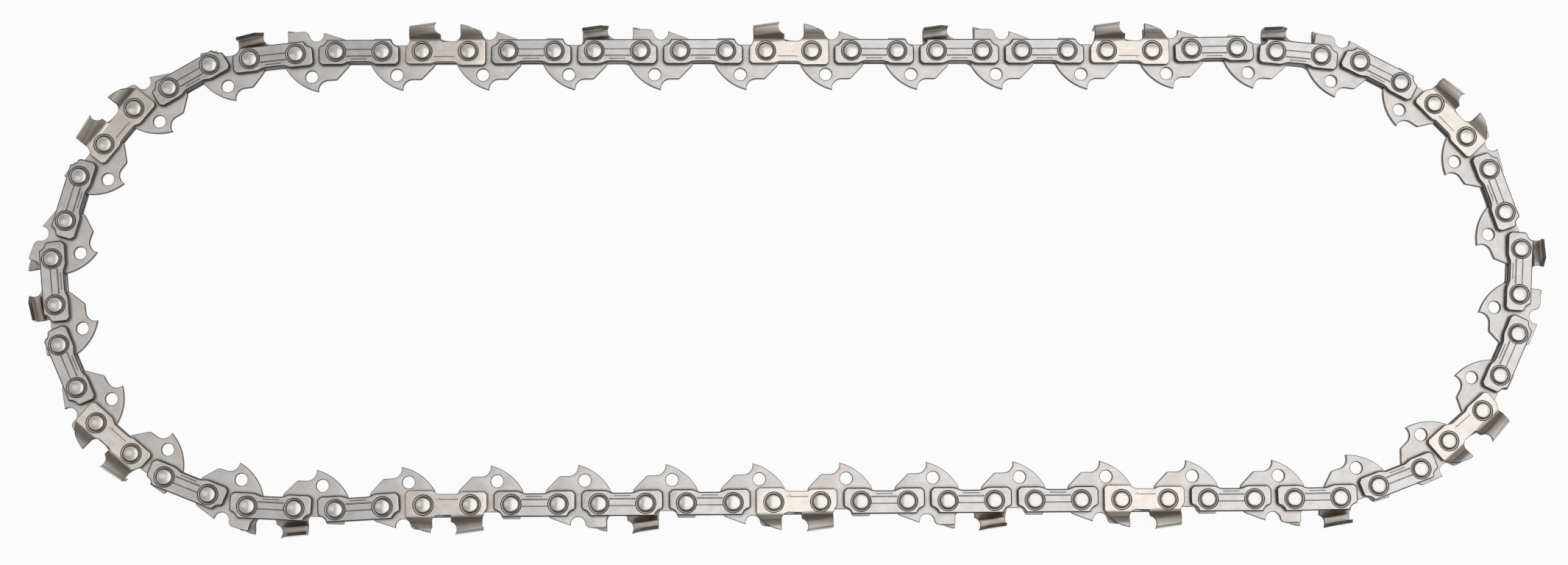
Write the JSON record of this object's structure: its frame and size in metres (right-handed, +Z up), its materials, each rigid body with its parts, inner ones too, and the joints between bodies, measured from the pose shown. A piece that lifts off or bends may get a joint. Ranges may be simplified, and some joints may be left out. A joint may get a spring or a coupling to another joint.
{
  "type": "chainsaw chain loop",
  "caption": "Closed loop of low-profile saw chain with cutters, tie straps, guard and plain drive links on rivets.",
  "frame": {"origin": "centre of the loop's outline, on the surface that it lies on", "axes": "+X along the two long runs, +Y across the loop, +Z up along the rivets"},
  "size_m": [0.3364, 0.1168, 0.0062],
  "materials": {
    "cutter_steel": "satin plated",
    "strap_steel": "tumbled satin",
    "drive_link_steel": "matt"
  },
  "bodies": {
    "right_cutter_set_01": {"right_cutter_set_01": "cutter_steel"},
    "guard_drive_link_01": {"guard_drive_link_01": "drive_link_steel"},
    "tie_link_01": {"tie_link_01": "strap_steel"},
    "left_cutter_set_02": {"left_cutter_set_02": "cutter_steel"},
    "guard_drive_link_02": {"guard_drive_link_02": "drive_link_steel"},
    "tie_link_02": {"tie_link_02": "strap_steel"},
    "right_cutter_set_03": {"right_cutter_set_03": "cutter_steel"},
    "guard_drive_link_03": {"guard_drive_link_03": "drive_link_steel"},
    "tie_link_03": {"tie_link_03": "strap_steel"},
    "left_cutter_set_04": {"left_cutter_set_04": "cutter_steel"},
    "guard_drive_link_04": {"guard_drive_link_04": "drive_link_steel"},
    "tie_link_04": {"tie_link_04": "strap_steel"},
    "right_cutter_set_05": {"right_cutter_set_05": "cutter_steel"},
    "guard_drive_link_05": {"guard_drive_link_05": "drive_link_steel"},
    "tie_link_05": {"tie_link_05": "strap_steel"},
    "left_cutter_set_06": {"left_cutter_set_06": "cutter_steel"},
    "guard_drive_link_06": {"guard_drive_link_06": "drive_link_steel"},
    "tie_link_06": {"tie_link_06": "strap_steel"},
    "right_cutter_set_07": {"right_cutter_set_07": "cutter_steel"},
    "guard_drive_link_07": {"guard_drive_link_07": "drive_link_steel"},
    "tie_link_07": {"tie_link_07": "strap_steel"},
    "left_cutter_set_08": {"left_cutter_set_08": "cutter_steel"},
    "guard_drive_link_08": {"guard_drive_link_08": "drive_link_steel"},
    "tie_link_08": {"tie_link_08": "strap_steel"},
    "right_cutter_set_09": {"right_cutter_set_09": "cutter_steel"},
    "guard_drive_link_09": {"guard_drive_link_09": "drive_link_steel"},
    "tie_link_09": {"tie_link_09": "strap_steel"},
    "left_cutter_set_10": {"left_cutter_set_10": "cutter_steel"},
    "guard_drive_link_10": {"guard_drive_link_10": "drive_link_steel"},
    "tie_link_10": {"tie_link_10": "strap_steel"},
    "right_cutter_set_11": {"right_cutter_set_11": "cutter_steel"},
    "guard_drive_link_11": {"guard_drive_link_11": "drive_link_steel"},
    "tie_link_11": {"tie_link_11": "strap_steel"},
    "left_cutter_set_12": {"left_cutter_set_12": "cutter_steel"},
    "guard_drive_link_12": {"guard_drive_link_12": "drive_link_steel"},
    "tie_link_12": {"tie_link_12": "strap_steel"},
    "right_cutter_set_13": {"right_cutter_set_13": "cutter_steel"},
    "guard_drive_link_13": {"guard_drive_link_13": "drive_link_steel"},
    "tie_link_13": {"tie_link_13": "strap_steel"},
    "left_cutter_set_14": {"left_cutter_set_14": "cutter_steel"},
    "guard_drive_link_14": {"guard_drive_link_14": "drive_link_steel"},
    "tie_link_14": {"tie_link_14": "strap_steel"},
    "right_cutter_set_15": {"right_cutter_set_15": "cutter_steel"},
    "guard_drive_link_15": {"guard_drive_link_15": "drive_link_steel"},
    "tie_link_15": {"tie_link_15": "strap_steel"},
    "left_cutter_set_16": {"left_cutter_set_16": "cutter_steel"},
    "guard_drive_link_16": {"guard_drive_link_16": "drive_link_steel"},
    "tie_link_16": {"tie_link_16": "strap_steel"},
    "right_cutter_set_17": {"right_cutter_set_17": "cutter_steel"},
    "guard_drive_link_17": {"guard_drive_link_17": "drive_link_steel"},
    "tie_link_17": {"tie_link_17": "strap_steel"},
    "left_cutter_set_18": {"left_cutter_set_18": "cutter_steel"},
    "guard_drive_link_18": {"guard_drive_link_18": "drive_link_steel"},
    "tie_link_18": {"tie_link_18": "strap_steel"},
    "right_cutter_set_19": {"right_cutter_set_19": "cutter_steel"},
    "guard_drive_link_19": {"guard_drive_link_19": "drive_link_steel"},
    "tie_link_19": {"tie_link_19": "strap_steel"},
    "left_cutter_set_20": {"left_cutter_set_20": "cutter_steel"},
    "guard_drive_link_20": {"guard_drive_link_20": "drive_link_steel"},
    "tie_link_20": {"tie_link_20": "strap_steel"}
  },
  "joints": [
    {"name": "pivot_70", "type": "hinge", "parent": "left_cutter_set_18", "child": "guard_drive_link_18", "pos_m": [0.03416, -0.04891, 0.0031], "axis": [0, 0, 1], "range_deg": [-3.5, 3.5]},
    {"name": "pivot_71", "type": "hinge", "parent": "guard_drive_link_18", "child": "tie_link_18", "pos_m": [0.02531, -0.04907, 0.0031], "axis": [0, 0, 1], "range_deg": [-3.67, 3.67]},
    {"name": "pivot_73", "type": "hinge", "parent": "tie_link_18", "child": "right_cutter_set_19", "pos_m": [0.00627, -0.04942, 0.0031], "axis": [0, 0, 1], "range_deg": [-3.89, 3.89]},
    {"name": "pivot_74", "type": "hinge", "parent": "right_cutter_set_19", "child": "guard_drive_link_19", "pos_m": [-0.00393, -0.04961, 0.0031], "axis": [0, 0, 1], "range_deg": [-4, 4]},
    {"name": "pivot_75", "type": "hinge", "parent": "guard_drive_link_19", "child": "tie_link_19", "pos_m": [-0.01278, -0.04978, 0.0031], "axis": [0, 0, 1], "range_deg": [-4.1, 4.1]},
    {"name": "pivot_77", "type": "hinge", "parent": "tie_link_19", "child": "left_cutter_set_20", "pos_m": [-0.03183, -0.05013, 0.0031], "axis": [0, 0, 1], "range_deg": [-4.3, 4.3]},
    {"name": "pivot_78", "type": "hinge", "parent": "left_cutter_set_20", "child": "guard_drive_link_20", "pos_m": [-0.04202, -0.05032, 0.0031], "axis": [0, 0, 1], "range_deg": [-4.46, 4.46]},
    {"name": "pivot_79", "type": "hinge", "parent": "guard_drive_link_20", "child": "tie_link_20", "pos_m": [-0.05087, -0.05048, 0.0031], "axis": [0, 0, 1], "range_deg": [-4.7, 4.7]},
    {"name": "pivot_01", "type": "hinge", "parent": "tie_link_20", "child": "right_cutter_set_01", "pos_m": [-0.06992, -0.05083, 0.0031], "axis": [0, 0, 1], "range_deg": [-1.46, 1.46]},
    {"name": "pivot_02", "type": "hinge", "parent": "right_cutter_set_01", "child": "guard_drive_link_01", "pos_m": [-0.08012, -0.05101, 0.0031], "axis": [0, 0, 1], "range_deg": [-4.04, 4.04]},
    {"name": "pivot_03", "type": "hinge", "parent": "guard_drive_link_01", "child": "tie_link_01", "pos_m": [-0.08896, -0.05146, 0.0031], "axis": [0, 0, 1], "range_deg": [-2.76, 2.76]},
    {"name": "pivot_05", "type": "hinge", "parent": "tie_link_01", "child": "left_cutter_set_02", "pos_m": [-0.10798, -0.052, 0.0031], "axis": [0, 0, 1], "range_deg": [-2.07, 2.07]},
    {"name": "pivot_06", "type": "hinge", "parent": "left_cutter_set_02", "child": "guard_drive_link_02", "pos_m": [-0.11817, -0.05162, 0.0031], "axis": [0, 0, 1], "range_deg": [-2.46, 2.46]},
    {"name": "pivot_07", "type": "hinge", "parent": "guard_drive_link_02", "child": "tie_link_02", "pos_m": [-0.12667, -0.04916, 0.0031], "axis": [0, 0, 1], "range_deg": [-3.28, 3.28]},
    {"name": "pivot_09", "type": "hinge", "parent": "tie_link_02", "child": "right_cutter_set_03", "pos_m": [-0.1435, -0.0405, 0.0031], "axis": [0, 0, 1], "range_deg": [-3.54, 3.54]},
    {"name": "pivot_10", "type": "hinge", "parent": "right_cutter_set_03", "child": "guard_drive_link_03", "pos_m": [-0.15129, -0.03391, 0.0031], "axis": [0, 0, 1], "range_deg": [-3.12, 3.12]},
    {"name": "pivot_11", "type": "hinge", "parent": "guard_drive_link_03", "child": "tie_link_03", "pos_m": [-0.1558, -0.0263, 0.0031], "axis": [0, 0, 1], "range_deg": [-2.73, 2.73]},
    {"name": "pivot_13", "type": "hinge", "parent": "tie_link_03", "child": "left_cutter_set_04", "pos_m": [-0.16123, -0.00826, 0.0031], "axis": [0, 0, 1], "range_deg": [-2.68, 2.68]},
    {"name": "pivot_14", "type": "hinge", "parent": "left_cutter_set_04", "child": "guard_drive_link_04", "pos_m": [-0.1624, 0.00188, 0.0031], "axis": [0, 0, 1], "range_deg": [-3, 3]},
    {"name": "pivot_15", "type": "hinge", "parent": "guard_drive_link_04", "child": "tie_link_04", "pos_m": [-0.15974, 0.01032, 0.0031], "axis": [0, 0, 1], "range_deg": [-3.28, 3.28]},
    {"name": "pivot_17", "type": "hinge", "parent": "tie_link_04", "child": "right_cutter_set_05", "pos_m": [-0.15203, 0.02739, 0.0031], "axis": [0, 0, 1], "range_deg": [-3.2, 3.2]},
    {"name": "pivot_18", "type": "hinge", "parent": "right_cutter_set_05", "child": "guard_drive_link_05", "pos_m": [-0.1458, 0.03547, 0.0031], "axis": [0, 0, 1], "range_deg": [-2.75, 2.75]},
    {"name": "pivot_19", "type": "hinge", "parent": "guard_drive_link_05", "child": "tie_link_05", "pos_m": [-0.13833, 0.0402, 0.0031], "axis": [0, 0, 1], "range_deg": [-2.38, 2.38]},
    {"name": "pivot_21", "type": "hinge", "parent": "tie_link_05", "child": "left_cutter_set_06", "pos_m": [-0.12088, 0.04692, 0.0031], "axis": [0, 0, 1], "range_deg": [-2.32, 2.32]},
    {"name": "pivot_22", "type": "hinge", "parent": "left_cutter_set_06", "child": "guard_drive_link_06", "pos_m": [-0.11076, 0.0482, 0.0031], "axis": [0, 0, 1], "range_deg": [-2.56, 2.56]},
    {"name": "pivot_23", "type": "hinge", "parent": "guard_drive_link_06", "child": "tie_link_06", "pos_m": [-0.10193, 0.04885, 0.0031], "axis": [0, 0, 1], "range_deg": [-2.87, 2.87]},
    {"name": "pivot_25", "type": "hinge", "parent": "tie_link_06", "child": "right_cutter_set_07", "pos_m": [-0.08288, 0.04922, 0.0031], "axis": [0, 0, 1], "range_deg": [-4.21, 4.21]},
    {"name": "pivot_26", "type": "hinge", "parent": "right_cutter_set_07", "child": "guard_drive_link_07", "pos_m": [-0.07268, 0.04941, 0.0031], "axis": [0, 0, 1], "range_deg": [-4.26, 4.26]},
    {"name": "pivot_27", "type": "hinge", "parent": "guard_drive_link_07", "child": "tie_link_07", "pos_m": [-0.06384, 0.04957, 0.0031], "axis": [0, 0, 1], "range_deg": [-4.24, 4.24]},
    {"name": "pivot_29", "type": "hinge", "parent": "tie_link_07", "child": "left_cutter_set_08", "pos_m": [-0.04479, 0.0499, 0.0031], "axis": [0, 0, 1], "range_deg": [-4.13, 4.13]},
    {"name": "pivot_30", "type": "hinge", "parent": "left_cutter_set_08", "child": "guard_drive_link_08", "pos_m": [-0.03459, 0.05007, 0.0031], "axis": [0, 0, 1], "range_deg": [-4.08, 4.08]},
    {"name": "pivot_31", "type": "hinge", "parent": "guard_drive_link_08", "child": "tie_link_08", "pos_m": [-0.02574, 0.05022, 0.0031], "axis": [0, 0, 1], "range_deg": [-4.05, 4.05]},
    {"name": "pivot_69", "type": "hinge", "parent": "left_cutter_set_18", "child": "tie_link_17", "pos_m": [0.04436, -0.04873, 0.0031], "axis": [0, 0, 1], "range_deg": [-3.57, 3.57]},
    {"name": "pivot_67", "type": "hinge", "parent": "tie_link_17", "child": "guard_drive_link_17", "pos_m": [0.06341, -0.0484, 0.0031], "axis": [0, 0, 1], "range_deg": [-3.63, 3.63]},
    {"name": "pivot_66", "type": "hinge", "parent": "guard_drive_link_17", "child": "right_cutter_set_17", "pos_m": [0.07226, -0.04826, 0.0031], "axis": [0, 0, 1], "range_deg": [-3.68, 3.68]},
    {"name": "pivot_65", "type": "hinge", "parent": "right_cutter_set_17", "child": "tie_link_16", "pos_m": [0.08246, -0.0481, 0.0031], "axis": [0, 0, 1], "range_deg": [-3.73, 3.73]},
    {"name": "pivot_63", "type": "hinge", "parent": "tie_link_16", "child": "guard_drive_link_16", "pos_m": [0.1015, -0.04781, 0.0031], "axis": [0, 0, 1], "range_deg": [-3.61, 3.61]},
    {"name": "pivot_62", "type": "hinge", "parent": "guard_drive_link_16", "child": "left_cutter_set_16", "pos_m": [0.11035, -0.04768, 0.0031], "axis": [0, 0, 1], "range_deg": [-3.48, 3.48]},
    {"name": "pivot_61", "type": "hinge", "parent": "left_cutter_set_16", "child": "tie_link_15", "pos_m": [0.12055, -0.04737, 0.0031], "axis": [0, 0, 1], "range_deg": [-3.58, 3.58]},
    {"name": "pivot_59", "type": "hinge", "parent": "tie_link_15", "child": "guard_drive_link_15", "pos_m": [0.13846, -0.0409, 0.0031], "axis": [0, 0, 1], "range_deg": [-3.64, 3.64]},
    {"name": "pivot_58", "type": "hinge", "parent": "guard_drive_link_15", "child": "right_cutter_set_15", "pos_m": [0.14475, -0.03468, 0.0031], "axis": [0, 0, 1], "range_deg": [-3.17, 3.17]},
    {"name": "pivot_57", "type": "hinge", "parent": "right_cutter_set_15", "child": "tie_link_14", "pos_m": [0.15238, -0.02791, 0.0031], "axis": [0, 0, 1], "range_deg": [-2.79, 2.79]},
    {"name": "pivot_55", "type": "hinge", "parent": "tie_link_14", "child": "guard_drive_link_14", "pos_m": [0.16069, -0.01078, 0.0031], "axis": [0, 0, 1], "range_deg": [-2.71, 2.71]},
    {"name": "pivot_54", "type": "hinge", "parent": "guard_drive_link_14", "child": "left_cutter_set_14", "pos_m": [0.16123, -0.00194, 0.0031], "axis": [0, 0, 1], "range_deg": [-2.98, 2.98]},
    {"name": "pivot_53", "type": "hinge", "parent": "left_cutter_set_14", "child": "tie_link_13", "pos_m": [0.16187, 0.00824, 0.0031], "axis": [0, 0, 1], "range_deg": [-3.31, 3.31]},
    {"name": "pivot_51", "type": "hinge", "parent": "tie_link_13", "child": "guard_drive_link_13", "pos_m": [0.15513, 0.02605, 0.0031], "axis": [0, 0, 1], "range_deg": [-3.25, 3.25]},
    {"name": "pivot_50", "type": "hinge", "parent": "guard_drive_link_13", "child": "right_cutter_set_13", "pos_m": [0.15014, 0.03336, 0.0031], "axis": [0, 0, 1], "range_deg": [-2.87, 2.87]},
    {"name": "pivot_49", "type": "hinge", "parent": "right_cutter_set_13", "child": "tie_link_12", "pos_m": [0.14302, 0.04067, 0.0031], "axis": [0, 0, 1], "range_deg": [-2.42, 2.42]},
    {"name": "pivot_47", "type": "hinge", "parent": "tie_link_12", "child": "guard_drive_link_12", "pos_m": [0.12648, 0.05006, 0.0031], "axis": [0, 0, 1], "range_deg": [-2.69, 2.69]},
    {"name": "pivot_46", "type": "hinge", "parent": "guard_drive_link_12", "child": "left_cutter_set_12", "pos_m": [0.11772, 0.05128, 0.0031], "axis": [0, 0, 1], "range_deg": [-3.06, 3.06]},
    {"name": "pivot_45", "type": "hinge", "parent": "left_cutter_set_12", "child": "tie_link_11", "pos_m": [0.10755, 0.05215, 0.0031], "axis": [0, 0, 1], "range_deg": [-3.93, 3.93]},
    {"name": "pivot_43", "type": "hinge", "parent": "tie_link_11", "child": "guard_drive_link_11", "pos_m": [0.08853, 0.0524, 0.0031], "axis": [0, 0, 1], "range_deg": [-4.81, 4.81]},
    {"name": "pivot_42", "type": "hinge", "parent": "guard_drive_link_11", "child": "right_cutter_set_11", "pos_m": [0.07969, 0.05193, 0.0031], "axis": [0, 0, 1], "range_deg": [-3.51, 3.51]},
    {"name": "pivot_41", "type": "hinge", "parent": "right_cutter_set_11", "child": "tie_link_10", "pos_m": [0.0695, 0.05176, 0.0031], "axis": [0, 0, 1], "range_deg": [-3.28, 3.28]},
    {"name": "pivot_39", "type": "hinge", "parent": "tie_link_10", "child": "guard_drive_link_10", "pos_m": [0.05045, 0.05144, 0.0031], "axis": [0, 0, 1], "range_deg": [-3.42, 3.42]},
    {"name": "pivot_38", "type": "hinge", "parent": "guard_drive_link_10", "child": "left_cutter_set_10", "pos_m": [0.0416, 0.0513, 0.0031], "axis": [0, 0, 1], "range_deg": [-3.56, 3.56]},
    {"name": "pivot_37", "type": "hinge", "parent": "left_cutter_set_10", "child": "tie_link_09", "pos_m": [0.0314, 0.05113, 0.0031], "axis": [0, 0, 1], "range_deg": [-3.73, 3.73]},
    {"name": "pivot_35", "type": "hinge", "parent": "tie_link_09", "child": "guard_drive_link_09", "pos_m": [0.01235, 0.05083, 0.0031], "axis": [0, 0, 1], "range_deg": [-3.96, 3.96]},
    {"name": "pivot_34", "type": "hinge", "parent": "guard_drive_link_09", "child": "right_cutter_set_09", "pos_m": [0.0035, 0.05069, 0.0031], "axis": [0, 0, 1], "range_deg": [-4.01, 4.01]}
  ],
  "couplings": [
    {"joint": "pivot_71", "follows": "pivot_70", "ratio": 1.0204},
    {"joint": "pivot_73", "follows": "pivot_70", "ratio": 1.0815},
    {"joint": "pivot_74", "follows": "pivot_70", "ratio": 1.1152},
    {"joint": "pivot_75", "follows": "pivot_70", "ratio": 1.1414},
    {"joint": "pivot_77", "follows": "pivot_70", "ratio": 1.1987},
    {"joint": "pivot_78", "follows": "pivot_70", "ratio": 1.2444},
    {"joint": "pivot_79", "follows": "pivot_70", "ratio": 1.3131},
    {"joint": "pivot_01", "follows": "pivot_70", "ratio": -0.38784},
    {"joint": "pivot_02", "follows": "pivot_70", "ratio": -1.1245},
    {"joint": "pivot_03", "follows": "pivot_70", "ratio": -0.76125},
    {"joint": "pivot_05", "follows": "pivot_70", "ratio": -0.56323},
    {"joint": "pivot_06", "follows": "pivot_70", "ratio": -0.67504},
    {"joint": "pivot_07", "follows": "pivot_70", "ratio": -0.90848},
    {"joint": "pivot_09", "follows": "pivot_70", "ratio": -0.98261},
    {"joint": "pivot_10", "follows": "pivot_70", "ratio": -0.86182},
    {"joint": "pivot_11", "follows": "pivot_70", "ratio": -0.75264},
    {"joint": "pivot_13", "follows": "pivot_70", "ratio": -0.73588},
    {"joint": "pivot_14", "follows": "pivot_70", "ratio": -0.82842},
    {"joint": "pivot_15", "follows": "pivot_70", "ratio": -0.90718},
    {"joint": "pivot_17", "follows": "pivot_70", "ratio": -0.88445},
    {"joint": "pivot_18", "follows": "pivot_70", "ratio": -0.75607},
    {"joint": "pivot_19", "follows": "pivot_70", "ratio": -0.65239},
    {"joint": "pivot_21", "follows": "pivot_70", "ratio": -0.63334},
    {"joint": "pivot_22", "follows": "pivot_70", "ratio": -0.70238},
    {"joint": "pivot_23", "follows": "pivot_70", "ratio": -0.79271},
    {"joint": "pivot_25", "follows": "pivot_70", "ratio": 1.1752},
    {"joint": "pivot_26", "follows": "pivot_70", "ratio": 1.1897},
    {"joint": "pivot_27", "follows": "pivot_70", "ratio": 1.1833},
    {"joint": "pivot_29", "follows": "pivot_70", "ratio": 1.1508},
    {"joint": "pivot_30", "follows": "pivot_70", "ratio": 1.1358},
    {"joint": "pivot_31", "follows": "pivot_70", "ratio": 1.1288},
    {"joint": "pivot_69", "follows": "pivot_70", "ratio": -0.99183},
    {"joint": "pivot_67", "follows": "pivot_70", "ratio": -1.0073},
    {"joint": "pivot_66", "follows": "pivot_70", "ratio": -1.0235},
    {"joint": "pivot_65", "follows": "pivot_70", "ratio": -1.0366},
    {"joint": "pivot_63", "follows": "pivot_70", "ratio": -1.0036},
    {"joint": "pivot_62", "follows": "pivot_70", "ratio": 0.96628},
    {"joint": "pivot_61", "follows": "pivot_70", "ratio": 0.99439},
    {"joint": "pivot_59", "follows": "pivot_70", "ratio": 1.0115},
    {"joint": "pivot_58", "follows": "pivot_70", "ratio": 0.87647},
    {"joint": "pivot_57", "follows": "pivot_70", "ratio": 0.76956},
    {"joint": "pivot_55", "follows": "pivot_70", "ratio": 0.74511},
    {"joint": "pivot_54", "follows": "pivot_70", "ratio": 0.82334},
    {"joint": "pivot_53", "follows": "pivot_70", "ratio": 0.91758},
    {"joint": "pivot_51", "follows": "pivot_70", "ratio": 0.89926},
    {"joint": "pivot_50", "follows": "pivot_70", "ratio": 0.79242},
    {"joint": "pivot_49", "follows": "pivot_70", "ratio": 0.66257},
    {"joint": "pivot_47", "follows": "pivot_70", "ratio": 0.7412},
    {"joint": "pivot_46", "follows": "pivot_70", "ratio": 0.84617},
    {"joint": "pivot_45", "follows": "pivot_70", "ratio": 1.0937},
    {"joint": "pivot_43", "follows": "pivot_70", "ratio": 1.3445},
    {"joint": "pivot_42", "follows": "pivot_70", "ratio": 0.97506},
    {"joint": "pivot_41", "follows": "pivot_70", "ratio": -0.90988},
    {"joint": "pivot_39", "follows": "pivot_70", "ratio": -0.94866},
    {"joint": "pivot_38", "follows": "pivot_70", "ratio": -0.98861},
    {"joint": "pivot_37", "follows": "pivot_70", "ratio": -1.0373},
    {"joint": "pivot_35", "follows": "pivot_70", "ratio": -1.1028},
    {"joint": "pivot_34", "follows": "pivot_70", "ratio": -1.1177}
  ]
}
